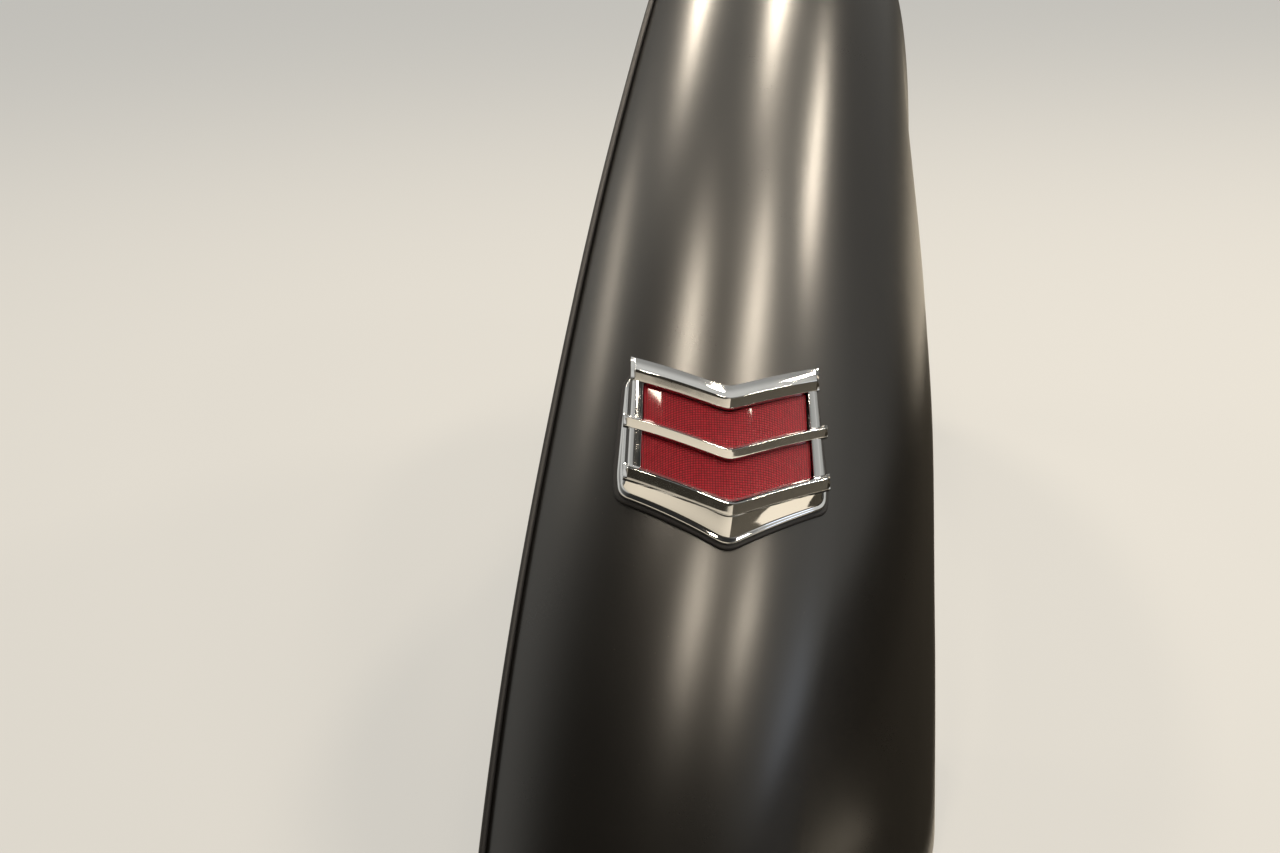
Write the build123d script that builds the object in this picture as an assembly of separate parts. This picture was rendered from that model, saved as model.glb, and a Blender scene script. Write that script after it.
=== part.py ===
from build123d import *
import math
import os

os.makedirs("parts", exist_ok=True)

# Axes: X outboard from the body, Y forward, Z up, in mm.
# The origin is midway between the two flange bolts level with the wheel axle,
# in the face of the flange that lies against the body.

# Sheet steel
SHEET = 2.0
FLANGE_WIDTH = 24.0
FLANGE_BEND = 5.0
LIP_WIDTH = 18.0
LIP_BEND = 6.0

# Wheel arch, an ellipse about the axle, straight down below it
ARCH_HALF_LENGTH = 400.0
ARCH_HEIGHT = 280.0

# Slope of the skin where it leaves the body, and where the crown arc ends
SEAM_SLOPE = 35.0
SHOULDER_SLOPE = 60.0

# Hoops: sections in planes through the wheel axis
# columns: angle up from straight forward, radius to the crown,
# radius of the arc over the crown, distance of the arch lip from the body
HOOPS = [
    (-22.0, 535.0, 100.0, 151.0),
    (15.0, 541.0, 100.0, 154.0),
    (40.0, 554.0, 100.0, 156.0),
    (65.0, 566.0, 101.0, 162.0),
    (88.0, 571.0, 106.0, 181.0),
    (108.0, 560.0, 116.0, 208.0),
    (128.0, 559.0, 129.0, 231.0),
    (146.0, 599.0, 140.0, 247.0),
    (162.0, 677.0, 150.0, 260.0),
    (176.0, 789.0, 150.0, 262.0),
    (193.0, 954.0, 142.0, 256.0),
    (210.0, 1120.0, 136.0, 246.0),
]
HOOP_COUNT = 31

# Height at which the fender's lower edges are trimmed
TRIM_HEIGHT = -150.0

# Flange bolts in pairs, front and rear, at the same height
BOLT_HOLE_RADIUS = 4.5
BOLT_DEPTH = 12.0
BOLT_HEIGHTS = [0.0, 150.0, 290.0, 410.0]

# Bead in the groove between body and fender
WELT_RADIUS = 2.4
WELT_GAP = 1.0
WELT_SIDES = 8
WELT_RUNS = 80

# Gap under a piece that is seated on the skin
SEAT_GAP = 0.3

# Where the lamp sits: hoop angle, distance from the body, roll of its top
LAMP_HOOP = 163.4
LAMP_OUT = 138.4
LAMP_ROLL = 9.5

# Lamp layers that follow the skin: height above it
PAD_THICKNESS = 3.0
BUCKET_SHEET = 1.4
RIM_THICKNESS = 3.0

# Lamp layers that bow about an upright axis: height at the lamp's centre
LAMP_ARC = 240.0
WALL_FOOT = 5.0
LENS_SEAL_TOP = 9.6
LENS_TOP = 13.2
BEZEL_TOP = 17.6
RIDGE_RISE = 5.5
LAYER_GAP = 0.1
BEZEL_WALL = 4.0
SEAL_WIDTH = 3.0
SEAL_INSET = 1.0

# Right half of the lamp's outlines, from the top middle to the bottom middle:
# its rim on the pad, the foot of its wall and its face
# columns: sideways, upward
RIM_OUTLINE = [
    (0.0, 52.5), (62.0, 74.5), (69.5, 65.0), (75.5, -8.0), (74.5, -24.5), (0.0, -65.5),
]
WALL_OUTLINE = [
    (0.0, 52.0), (61.5, 73.5), (68.0, 64.5), (72.5, -10.0), (71.5, -22.5), (0.0, -62.0),
]
FACE_OUTLINE = [
    (0.0, 51.5), (61.0, 72.5), (66.5, 64.0), (69.8, -7.0), (69.0, -16.5), (0.0, -50.0),
]
# How far each corner of these outlines is rounded back along its edges, and the
# greatest share of an edge that is rounded away at each end
OUTLINE_CUTS = [9.0, 2.5, 4.0, 5.0, 7.0, 9.0]
CUT_SHARE = 0.42
PAD_MARGIN = 2.5
WALL_DEPTH = 40.0

# Stretch of the skin that the lamp's lower layers copy: hoop angle each way
SPREAD = 20.0
SPREAD_HOOPS = 9

# Windows in the bezel: height of the top and bottom edge at the middle,
# then at the sides, and how far the sides stand off the middle
# columns: middle top, middle bottom, side top, side bottom, half width
WINDOWS = [
    (33.0, 2.5, 56.0, 29.5, 59.5),
    (-6.5, -37.5, 17.0, -10.0, 61.3),
]

# Ridged bars over the bezel
# columns: ridge height at the middle and at the ends, distance of the ends,
# width of the slope above the ridge and of the slope below it
BARS = [
    (38.2, 62.5, 65.5, 11.8, 5.2),
    (-2.3, 25.2, 70.5, 4.4, 4.2),
    (-43.4, -14.0, 70.5, 5.4, 5.8),
]
BAR_STEP = 0.4
BAR_ROOT = 3.0
BAR_BEND = 4.4
BAR_SHARES = [0.0, 0.07, 0.16, 0.32, 0.62, 1.0]
TIP_LENGTH = 2.6
TIP_RISE = 0.8

# Lamp body behind the bezel
BUCKET_HALF_WIDTH = 40.0
BUCKET_TOP = 26.0
BUCKET_BOTTOM = -24.0
BUCKET_CORNER = 14.0
BUCKET_DEPTH = 46.0
BUCKET_WALL = 1.2
HOLE_CLEARANCE = 3.0
REFLECTOR_DEPTH = 34.0
REFLECTOR_WALL = 1.0
REFLECTOR_FLARE = 6.0
BULB_HEIGHT = 1.0
SOCKET_RADIUS = 9.0
SOCKET_LENGTH = 24.0
SOCKET_FLOOR = 2.0
COLLAR_WIDTH = 3.0
COLLAR_HEIGHT = 1.5
BULB_BASE_RADIUS = 7.4
BULB_NECK_RADIUS = 6.4
BULB_NECK_HEIGHT = 8.0
BULB_RADIUS = 11.0
BULB_CENTRE = 14.0
FIT = 0.3

# Studs that hold the lamp, above and below the lamp body
STUD_HEIGHTS = {"upper": 36.0, "lower": -33.2}
STUD_RADIUS = 2.5
STUD_HEAD_RADIUS = 4.5
STUD_HEAD_HEIGHT = 2.0
STUD_LENGTH = 24.0
STUD_HOLE_RADIUS = 3.0
NUT_ACROSS = 8.0
NUT_HEIGHT = 4.5
WASHER_RADIUS = 6.0
WASHER_HEIGHT = 1.2
WASHER_GAP = 0.3
THREAD_GAP = 0.02

FAR = 120.0

PAD_TOP = SEAT_GAP + PAD_THICKNESS
BUCKET_FLANGE_TOP = PAD_TOP + LAYER_GAP + BUCKET_SHEET


def natural_spline(column, angle):
    """Value of one column of HOOPS at an angle, by a natural cubic spline."""
    xs = [row[0] for row in HOOPS]
    ys = [row[column] for row in HOOPS]
    count = len(xs)
    steps = [xs[i + 1] - xs[i] for i in range(count - 1)]
    upper = [0.0] * count
    right = [0.0] * count
    bend = [0.0] * count
    for i in range(1, count - 1):
        turn = (ys[i + 1] - ys[i]) / steps[i] - (ys[i] - ys[i - 1]) / steps[i - 1]
        pivot = 2 * (steps[i - 1] + steps[i]) - steps[i - 1] * upper[i - 1]
        upper[i] = steps[i] / pivot
        right[i] = (6 * turn - steps[i - 1] * right[i - 1]) / pivot
    for i in range(count - 2, 0, -1):
        bend[i] = right[i] - upper[i] * bend[i + 1]
    i = 0
    while i < count - 2 and angle > xs[i + 1]:
        i += 1
    before = angle - xs[i]
    after = xs[i + 1] - angle
    step = steps[i]
    cubic = (bend[i + 1] * before**3 + bend[i] * after**3) / (6 * step)
    low = (ys[i] / step - bend[i] * step / 6) * after
    high = (ys[i + 1] / step - bend[i + 1] * step / 6) * before
    return cubic + low + high


def arch_radius(angle):
    """Distance of the wheel arch from the wheel axis at a hoop angle."""
    along = math.cos(math.radians(angle)) / ARCH_HALF_LENGTH
    up = max(math.sin(math.radians(angle)), 0.0) / ARCH_HEIGHT
    return 1 / math.hypot(along, up)


def polar(centre, radius, angle):
    """Point of a section arc, the angle counted from radially outward."""
    turned = math.radians(angle)
    return (centre[0] + radius * math.sin(turned), centre[1] + radius * math.cos(turned))


def hoop_arcs(angle):
    """The four outer arcs of a section: centre, radius, start and end angle."""
    crown = natural_spline(1, angle)
    radius = natural_spline(2, angle)
    width = natural_spline(3, angle)
    centre = (radius * math.sin(math.radians(SEAM_SLOPE)), crown - radius)
    reach = radius - FLANGE_BEND
    side = centre[0] - FLANGE_BEND
    bend_centre = (FLANGE_BEND, centre[1] + math.sqrt(reach**2 - side**2))
    leave = -math.degrees(math.asin(side / reach))
    shoulder = polar(centre, radius, SHOULDER_SLOPE)
    drop = shoulder[1] - arch_radius(angle)
    chord_slope = math.degrees(math.atan2(drop, width - shoulder[0]))
    chord = math.hypot(drop, width - shoulder[0])
    side_radius = chord / (2 * math.sin(math.radians(chord_slope - SHOULDER_SLOPE)))
    side_end = 2 * chord_slope - SHOULDER_SLOPE
    side_centre = polar(shoulder, -side_radius, SHOULDER_SLOPE)
    lip_start = polar(side_centre, side_radius, side_end)
    lip_centre = polar(lip_start, -LIP_BEND, side_end)
    return [
        (bend_centre, FLANGE_BEND, -90.0, leave),
        (centre, radius, leave, SHOULDER_SLOPE),
        (side_centre, side_radius, SHOULDER_SLOPE, side_end),
        (lip_centre, LIP_BEND, side_end, 180.0),
    ]


def flange_radius(angle):
    """Distance of the flange's bolt line from the wheel axis."""
    return hoop_arcs(angle)[0][0][1] - BOLT_DEPTH


HUB_Y = (flange_radius(180.0) - flange_radius(0.0)) / 2


def to_row(point, angle, shift=HUB_Y):
    """Section point, distance out and radius, put in the row's axes."""
    turned = math.radians(angle)
    return (point[0], shift + point[1] * math.cos(turned), point[1] * math.sin(turned))


def side_of_sheet(arcs, depth):
    """Corners and mid points of the sheet's outer side, or of one further in."""
    flange_end = arcs[0][0][1] - FLANGE_WIDTH
    points = [((depth, flange_end), None)]
    for centre, radius, start, end in arcs:
        middle = polar(centre, radius - depth, (start + end) / 2)
        points.append((polar(centre, radius - depth, start), None))
        points.append((polar(centre, radius - depth, end), middle))
    last = polar(arcs[3][0], arcs[3][1] - depth, 180.0)
    points.append(((last[0] - LIP_WIDTH, last[1]), None))
    return points


def chain(points, angle, backwards=False):
    """Edges through the points of one side of the sheet."""
    edges = []
    for (start, _), (end, middle) in zip(points, points[1:]):
        first, second = (end, start) if backwards else (start, end)
        if math.dist(first, second) < 1e-6:
            continue
        if middle is None:
            edges.append(Line(to_row(first, angle), to_row(second, angle)))
        else:
            through = to_row(middle, angle)
            edges.append(ThreePointArc(to_row(first, angle), through, to_row(second, angle)))
    return edges[::-1] if backwards else edges


def hoop_wire(angle):
    """Closed outline of the sheet at one hoop angle."""
    arcs = hoop_arcs(angle)
    outer = side_of_sheet(arcs, 0.0)
    inner = side_of_sheet(arcs, SHEET)
    edges = chain(outer, angle)
    edges.append(Line(to_row(outer[-1][0], angle), to_row(inner[-1][0], angle)))
    edges += chain(inner, angle, backwards=True)
    edges.append(Line(to_row(inner[0][0], angle), to_row(outer[0][0], angle)))
    return Wire(edges)


def filled_wire(angle, height):
    """Outline of everything below a height over the skin, to near the axis."""
    arcs = hoop_arcs(angle)
    outer = side_of_sheet(arcs, -height)[1:8]
    edges = chain(outer, angle)
    low = arch_radius(angle) / 2
    corners = [outer[-1][0], (outer[-1][0][0], low), (-height, low), outer[0][0]]
    for start, end in zip(corners, corners[1:]):
        edges.append(Line(to_row(start, angle), to_row(end, angle)))
    return Wire(edges)


def hoop_angles(first, last, count):
    return [first + (last - first) * i / (count - 1) for i in range(count)]


def skin_point(angle, out):
    """Point of the outer skin on the crown arc at a hoop angle."""
    centre, radius = hoop_arcs(angle)[1][:2]
    rise = math.sqrt(radius**2 - (out - centre[0]) ** 2)
    return Vector(*to_row((out, centre[1] + rise), angle))


def lamp_plane():
    """Plane on the skin at the lamp: x sideways, y up the fender, z outward."""
    small = 0.2
    along = skin_point(LAMP_HOOP - small, LAMP_OUT) - skin_point(LAMP_HOOP + small, LAMP_OUT)
    across = skin_point(LAMP_HOOP, LAMP_OUT + small) - skin_point(LAMP_HOOP, LAMP_OUT - small)
    normal = across.cross(along).normalized()
    level = Vector(0, 0, 1).cross(normal).normalized()
    level = level if level.X > 0 else -level
    sideways = level.rotate(Axis((0, 0, 0), tuple(normal)), -LAMP_ROLL)
    return Plane(skin_point(LAMP_HOOP, LAMP_OUT), x_dir=sideways, z_dir=normal)


LAMP = lamp_plane()


def both_sides(half, flip):
    """A list for the right half of an outline, carried on round the left half."""
    return [*half, *[flip(item) for item in half[-2:0:-1]]]


def grown(ring, margin):
    """Corners of a clockwise outline, moved outward until its edges stand off a margin."""
    moved = []
    for before, corner, after in zip([ring[-1], *ring], ring, [*ring[1:], ring[0]]):
        back = (Vector(*corner) - Vector(*before)).normalized()
        ahead = (Vector(*after) - Vector(*corner)).normalized()
        sides = Vector(-back.Y, back.X) + Vector(-ahead.Y, ahead.X)
        reach = 2 * margin / sides.length**2
        moved.append(Vector(*corner) + sides * reach)
    return moved


def outline_face(half, margin=0.0):
    """Face inside an outline and a margin, its corners rounded by tangent arcs."""
    ring = grown(both_sides(half, lambda corner: (-corner[0], corner[1])), margin)
    cuts = both_sides(OUTLINE_CUTS, lambda cut: cut)
    arcs = []
    for before, corner, after, cut in zip([ring[-1], *ring], ring, [*ring[1:], ring[0]], cuts):
        back, ahead = before - corner, after - corner
        cut = min(cut, CUT_SHARE * back.length, CUT_SHARE * ahead.length)
        back, ahead = back.normalized(), ahead.normalized()
        middle = (back + ahead).normalized()
        cosine = middle.dot(back)
        dip = cut * (1 - math.sqrt(1 - cosine**2)) / cosine
        arcs.append(ThreePointArc(corner + back * cut, corner + middle * dip, corner + ahead * cut))
    edges = []
    for arc, following in zip(arcs, [*arcs[1:], arcs[0]]):
        edges += [arc, Line(arc @ 1, following @ 0)]
    return make_face(Wire(edges))


def drum(height):
    """Solid under a layer of the lamp, which bows about an upright axis."""
    radius = LAMP_ARC + height
    body = Cylinder(radius, 4 * FAR, rotation=(90, 0, 0))
    return Pos(0, 0, -LAMP_ARC) * body


def block(face):
    """The face's outline, long enough to reach through every layer."""
    return Pos(0, 0, -FAR / 2) * extrude(face, FAR)


def over_skin(height):
    """Solid under a layer that follows the skin, in the lamp's own plane."""
    around = hoop_angles(LAMP_HOOP - SPREAD, LAMP_HOOP + SPREAD, SPREAD_HOOPS)
    filled = Solid.make_loft([filled_wire(angle, height) for angle in around])
    return LAMP.to_local_coords(filled)


def bar_section(middle, end, reach, above, below, side, rise=RIDGE_RISE):
    """Section of a bar at a distance sideways from the lamp's middle."""
    slope = (end - middle) / reach
    height = middle + slope * math.hypot(side, BAR_BEND)
    fall = math.sqrt((LAMP_ARC + BEZEL_TOP) ** 2 - side**2) - LAMP_ARC
    stretch = math.hypot(1, slope)
    corners = [(-below, BAR_STEP), (0.0, rise), (above, BAR_STEP)]
    corners += [(above, -BAR_ROOT), (-below, -BAR_ROOT)]
    points = [(side, height + stretch * up, fall + out) for up, out in corners]
    return Wire(Polyline(*points, close=True))


def ridged_bar(*bar):
    """A chevron bar with a sharp ridge over the bowed face, its ends cut slanting."""
    reach = bar[2]
    sides = [-reach * share for share in BAR_SHARES[:0:-1]] + [reach * share for share in BAR_SHARES]
    body = Solid.make_loft([bar_section(*bar, side) for side in sides])
    end = bar_section(*bar, reach)
    tip = Solid.make_loft([end, bar_section(*bar, reach + TIP_LENGTH, TIP_RISE)], ruled=True)
    return body + tip + mirror(tip, about=Plane.YZ)


def window(top, bottom, side_top, side_bottom, half_width):
    """Chevron-shaped window opening."""
    right = [(0, top), (half_width, side_top), (half_width, side_bottom), (0, bottom)]
    left = [(-half_width, side_bottom), (-half_width, side_top)]
    return make_face(Polyline(*right, *left, close=True))


def bezel():
    """Chromed bezel: rim, sloped wall, two windows and three ridged bars."""
    foot = over_skin(PAD_TOP + LAYER_GAP)
    rim = block(outline_face(RIM_OUTLINE)) & over_skin(PAD_TOP + RIM_THICKNESS)
    low = Pos(0, 0, WALL_FOOT) * outline_face(WALL_OUTLINE)
    high = Pos(0, 0, BEZEL_TOP) * outline_face(FACE_OUTLINE)
    wall = loft([low, high], ruled=True) & drum(BEZEL_TOP)
    skirt = Pos(0, 0, WALL_FOOT) * extrude(outline_face(WALL_OUTLINE), -WALL_DEPTH)
    body = rim + ((wall + skirt) & drum(BEZEL_TOP))
    for row in BARS:
        body = body + ridged_bar(*row)
    hollow = block(outline_face(FACE_OUTLINE, -BEZEL_WALL)) & drum(LENS_TOP + LAYER_GAP)
    body = body - hollow - foot
    for row in WINDOWS:
        body = body - block(window(*row))
    return body


def bucket_face(margin):
    """Rounded outline of the lamp body where it goes through the skin."""
    width = 2 * (BUCKET_HALF_WIDTH + margin)
    height = BUCKET_TOP - BUCKET_BOTTOM + 2 * margin
    middle = (BUCKET_TOP + BUCKET_BOTTOM) / 2
    return Pos(0, middle) * RectangleRounded(width, height, BUCKET_CORNER + margin)


def bucket():
    """Lamp body: a pressed cup with a flange that lies on the pad."""
    flange = block(outline_face(FACE_OUTLINE, -BEZEL_WALL - FIT))
    flange = (flange & over_skin(BUCKET_FLANGE_TOP)) - over_skin(PAD_TOP + LAYER_GAP)
    cup = Pos(0, 0, -BUCKET_DEPTH) * extrude(bucket_face(0), BUCKET_DEPTH + PAD_TOP)
    cup = flange + cup
    floor = -BUCKET_DEPTH + BUCKET_WALL
    hollow = Pos(0, 0, floor) * extrude(bucket_face(-BUCKET_WALL), FAR)
    hole = Pos(0, BULB_HEIGHT, -BUCKET_DEPTH) * Cylinder(SOCKET_RADIUS + FIT, 10)
    cup = cup - hollow - hole
    for y in STUD_HEIGHTS.values():
        cup = cup - Pos(0, y, 0) * Cylinder(STUD_RADIUS + FIT, FAR)
    return cup


def pad():
    """Rubber pad between the lamp and the skin, shaped to both."""
    body = block(outline_face(RIM_OUTLINE, PAD_MARGIN)) & over_skin(PAD_TOP)
    body = body - over_skin(SEAT_GAP) - block(bucket_face(HOLE_CLEARANCE))
    for y in STUD_HEIGHTS.values():
        body = body - Pos(0, y, 0) * Cylinder(STUD_RADIUS + FIT, FAR)
    return body


def lens_seal():
    """Rubber ring between the lamp body's flange and the lens."""
    outer = outline_face(FACE_OUTLINE, -BEZEL_WALL - SEAL_INSET)
    inner = outline_face(FACE_OUTLINE, -BEZEL_WALL - SEAL_INSET - SEAL_WIDTH)
    ring = (block(outer) - block(inner)) & drum(LENS_SEAL_TOP)
    return ring - over_skin(BUCKET_FLANGE_TOP + LAYER_GAP)


def lens():
    """Red lens, one bowed plate behind both windows."""
    plate = block(outline_face(FACE_OUTLINE, -BEZEL_WALL - FIT))
    return (plate & drum(LENS_TOP)) - drum(LENS_SEAL_TOP + LAYER_GAP)


def reflector():
    """Bowl behind the bulb, inside the lamp body."""
    mouth = (BUCKET_TOP - BUCKET_BOTTOM) / 2 - BUCKET_WALL - FIT
    root = SOCKET_RADIUS + FIT
    back = -BUCKET_DEPTH + BUCKET_WALL + FIT
    front = back + REFLECTOR_DEPTH
    wide = root + REFLECTOR_FLARE
    middle = (back + front) / 2
    outer = Pos(0, 0, middle) * Cone(wide, mouth, REFLECTOR_DEPTH)
    inner = Cone(wide - REFLECTOR_WALL, mouth - REFLECTOR_WALL, REFLECTOR_DEPTH)
    bowl = outer - Pos(0, 0, middle + REFLECTOR_WALL) * inner
    bowl = bowl - Pos(0, 0, back) * Cylinder(root, REFLECTOR_DEPTH)
    return Pos(0, BULB_HEIGHT, 0) * bowl


SOCKET_BACK = -BUCKET_DEPTH - SOCKET_LENGTH / 2
BULB_FOOT = SOCKET_BACK + SOCKET_FLOOR + FIT


def standing(radius, height, foot):
    """Cylinder on the bulb's axis that stands at a height."""
    return Pos(0, BULB_HEIGHT, foot + height / 2) * Cylinder(radius, height)


def socket():
    """Bulb socket through the back of the lamp body, with its collar."""
    tube = standing(SOCKET_RADIUS, SOCKET_LENGTH, SOCKET_BACK)
    under = -BUCKET_DEPTH - LAYER_GAP - COLLAR_HEIGHT
    collar = standing(SOCKET_RADIUS + COLLAR_WIDTH, COLLAR_HEIGHT, under)
    bore = standing(BULB_BASE_RADIUS + FIT, SOCKET_LENGTH, SOCKET_BACK + SOCKET_FLOOR)
    return tube + collar - bore


def bulb_base():
    """Metal base of the bulb, bottomed in its socket."""
    return standing(BULB_BASE_RADIUS, SOCKET_LENGTH, BULB_FOOT)


def bulb_glass():
    """Glass of the bulb, standing on its base."""
    low = BULB_FOOT + SOCKET_LENGTH
    neck = standing(BULB_NECK_RADIUS, BULB_NECK_HEIGHT, low)
    ball = Pos(0, BULB_HEIGHT, low + BULB_CENTRE) * Sphere(BULB_RADIUS)
    return neck + (ball - standing(FAR, FAR, low - FAR))


def skin_offset(y):
    """Height of the skin above the lamp's plane, on its middle line at y."""
    low, high = -20.0, 20.0
    for _ in range(50):
        middle = (low + high) / 2
        point = LAMP.from_local_coords(Vector(0, y, middle))
        angle = math.degrees(math.atan2(point.Z, point.Y - HUB_Y))
        reach = math.hypot(point.Z, point.Y - HUB_Y)
        centre, radius = hoop_arcs(angle)[1][:2]
        if reach > centre[1] + math.sqrt(radius**2 - (point.X - centre[0]) ** 2):
            high = middle
        else:
            low = middle
    return low


def stud(y):
    """Stud standing inward through the skin, its head under the lens."""
    top = skin_offset(y) + BUCKET_FLANGE_TOP + SEAT_GAP
    shank = Pos(0, y, top + 1 - STUD_LENGTH / 2) * Cylinder(STUD_RADIUS, STUD_LENGTH)
    head = Pos(0, y, top + STUD_HEAD_HEIGHT / 2) * Cylinder(STUD_HEAD_RADIUS, STUD_HEAD_HEIGHT)
    return shank + head


def washer(y):
    """Washer against the inside of the skin."""
    top = skin_offset(y) - SHEET - SEAT_GAP - WASHER_GAP
    place = Pos(0, y, top - WASHER_HEIGHT / 2)
    return place * (Cylinder(WASHER_RADIUS, WASHER_HEIGHT) - Cylinder(STUD_RADIUS + FIT, FAR))


def nut(y):
    """Hexagon nut under the washer."""
    top = skin_offset(y) - SHEET - SEAT_GAP - WASHER_GAP - WASHER_HEIGHT
    hexagon = RegularPolygon(NUT_ACROSS / 2, 6, major_radius=False)
    body = extrude(hexagon, -NUT_HEIGHT) - Cylinder(STUD_RADIUS + THREAD_GAP, FAR)
    return Pos(0, y, top - THREAD_GAP) * body


def welt():
    """Eight-sided bead lying on the skin against the body, along the whole seam."""
    points = []
    for angle in hoop_angles(HOOPS[0][0], HOOPS[-1][0], WELT_RUNS + 1):
        centre, radius = hoop_arcs(angle)[1][:2]
        reach = radius + WELT_RADIUS + WELT_GAP
        rise = math.sqrt(reach**2 - (WELT_RADIUS - centre[0]) ** 2)
        points.append(to_row((WELT_RADIUS, centre[1] + rise), angle))
    path = Polyline(*points)
    start = Plane(path @ 0, x_dir=(1, 0, 0), z_dir=path % 0)
    section = RegularPolygon(WELT_RADIUS, WELT_SIDES, major_radius=False)
    turn = Rotation(0, 0, 180 / WELT_SIDES)
    return sweep(start * turn * section, path, transition=Transition.RIGHT)


# Fender skin with its flange, rolled arch lip, holes for bolts and lamp
angles = hoop_angles(HOOPS[0][0], HOOPS[-1][0], HOOP_COUNT)
skin = Solid.make_loft([hoop_wire(angle) for angle in angles])


def bolt_place(height, low, high):
    """Place on the flange's bolt line at a height, between two hoop angles."""
    rising = flange_radius(high) * math.sin(math.radians(high)) > height
    for _ in range(60):
        middle = (low + high) / 2
        above = flange_radius(middle) * math.sin(math.radians(middle)) > height
        if above == rising:
            high = middle
        else:
            low = middle
    return to_row((0.0, flange_radius(low)), low)


for height in BOLT_HEIGHTS:
    for low, high in ((HOOPS[0][0], 80.0), (HOOPS[-1][0], 100.0)):
        place = bolt_place(height, low, high)
        hole = Cylinder(BOLT_HOLE_RADIUS, 4 * SHEET, rotation=(0, 90, 0))
        skin = skin - Pos(*place) * hole
        print("bolt", [round(value, 2) for value in place])

skin = skin - LAMP * block(bucket_face(HOLE_CLEARANCE))
for y in STUD_HEIGHTS.values():
    skin = skin - LAMP * (Pos(0, y, 0) * Cylinder(STUD_HOLE_RADIUS, FAR))
below = Pos(0, 0, TRIM_HEIGHT - 2 * FAR) * Box(10 * FAR, 20 * FAR, 4 * FAR)
skin = skin - below

pieces = {
    "fender_skin": skin,
    "lamp_pad": LAMP * pad(),
    "lamp_bezel": LAMP * bezel(),
    "lamp_lens": LAMP * lens(),
    "lens_seal": LAMP * lens_seal(),
    "lamp_bucket": LAMP * bucket(),
    "lamp_reflector": LAMP * reflector(),
    "bulb_socket": LAMP * socket(),
    "bulb_base": LAMP * bulb_base(),
    "bulb_glass": LAMP * bulb_glass(),
    "fender_welt": welt() - below,
}
for name, y in STUD_HEIGHTS.items():
    pieces["stud_" + name] = LAMP * stud(y)
    pieces["washer_" + name] = LAMP * washer(y)
    pieces["nut_" + name] = LAMP * nut(y)

for name, shape in pieces.items():
    export_step(shape, "parts/" + name + ".step")
    solids = shape.solids() if not isinstance(shape, Solid) else [shape]
    box = shape.bounding_box()
    print(name, len(solids), round(shape.volume), box.min, box.max)
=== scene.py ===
"""Dresses the rear fender and its chevron tail lamp, and sets the stage."""

import math

import bpy
import numpy as np
from bpy.props import FloatProperty, FloatVectorProperty, PointerProperty
from mathutils import Euler, Matrix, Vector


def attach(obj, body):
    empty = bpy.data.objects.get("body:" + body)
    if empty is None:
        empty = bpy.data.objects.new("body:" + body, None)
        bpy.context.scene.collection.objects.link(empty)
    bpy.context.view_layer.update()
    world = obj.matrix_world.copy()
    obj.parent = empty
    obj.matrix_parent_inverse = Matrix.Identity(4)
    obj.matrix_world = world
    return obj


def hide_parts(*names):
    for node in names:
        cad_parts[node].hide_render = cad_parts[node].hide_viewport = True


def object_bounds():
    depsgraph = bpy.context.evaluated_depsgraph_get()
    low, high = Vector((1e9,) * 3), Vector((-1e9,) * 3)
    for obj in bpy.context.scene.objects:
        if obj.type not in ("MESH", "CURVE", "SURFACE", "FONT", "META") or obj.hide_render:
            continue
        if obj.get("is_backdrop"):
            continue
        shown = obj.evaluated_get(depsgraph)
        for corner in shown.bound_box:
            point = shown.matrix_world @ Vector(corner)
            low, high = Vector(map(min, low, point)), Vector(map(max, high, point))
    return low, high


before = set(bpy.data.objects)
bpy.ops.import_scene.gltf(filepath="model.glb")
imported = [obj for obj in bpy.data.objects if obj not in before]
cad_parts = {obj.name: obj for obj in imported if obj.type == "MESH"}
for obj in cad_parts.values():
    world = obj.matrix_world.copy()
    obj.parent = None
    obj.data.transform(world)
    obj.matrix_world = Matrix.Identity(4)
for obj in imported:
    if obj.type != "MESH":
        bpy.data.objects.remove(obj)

bl_info = {
    "name": "Rear fender with chevron tail lamp",
    "version": (1, 0, 0),
    "blender": (4, 5, 0),
    "location": "3D View > Sidebar > Fender",
    "description": "Builds the painted fender shell, its lamp and a plain studio",
    "category": "Object",
}

BODY = "root"
MM = 0.001

# Sections of the skin in planes through the wheel axis, as in the solid, in mm
# columns: angle up from straight forward, radius to the crown, radius of the arc over
# the crown, distance of the arch lip from the body
HOOPS = np.array([
    (-22.0, 535.0, 100.0, 151.0),
    (15.0, 541.0, 100.0, 154.0),
    (40.0, 554.0, 100.0, 156.0),
    (65.0, 566.0, 101.0, 162.0),
    (88.0, 571.0, 106.0, 181.0),
    (108.0, 560.0, 116.0, 208.0),
    (128.0, 559.0, 129.0, 231.0),
    (146.0, 599.0, 140.0, 247.0),
    (162.0, 677.0, 150.0, 260.0),
    (176.0, 789.0, 150.0, 262.0),
    (193.0, 954.0, 142.0, 256.0),
    (210.0, 1120.0, 136.0, 246.0),
])
ARCH_HALF_LENGTH = 400.0
ARCH_HEIGHT = 280.0
SEAM_SLOPE = 35.0
SHOULDER_SLOPE = 60.0
FLANGE_BEND = 5.0
LIP_BEND = 6.0
TRIM_HEIGHT = -150.0

# The sheet's grid: hoop angles that the trim starts from, rows, columns of each run,
# and the columns that the patches round the bolt holes lie between
TRIM_START = (-16.0, 190.0)
SHEET_ROWS = 300
SHEET_COLUMNS = [8, 6, 60, 44, 6, 3]
PATCH_COLUMNS = (2, 6)
# Bolt holes in the flange, in pairs before and behind the axle
BOLT_DEPTH = 12.0
BOLT_HOLE_RADIUS = 4.5
BOLT_HEIGHTS = [0.0, 150.0, 290.0, 410.0]

# The bead's grid: hoop angles of its ends before the trim, rows, sides
WELT_ENDS = (-16.0, 193.0)
WELT_ROWS = 420
WELT_SIDES = 16

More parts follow.
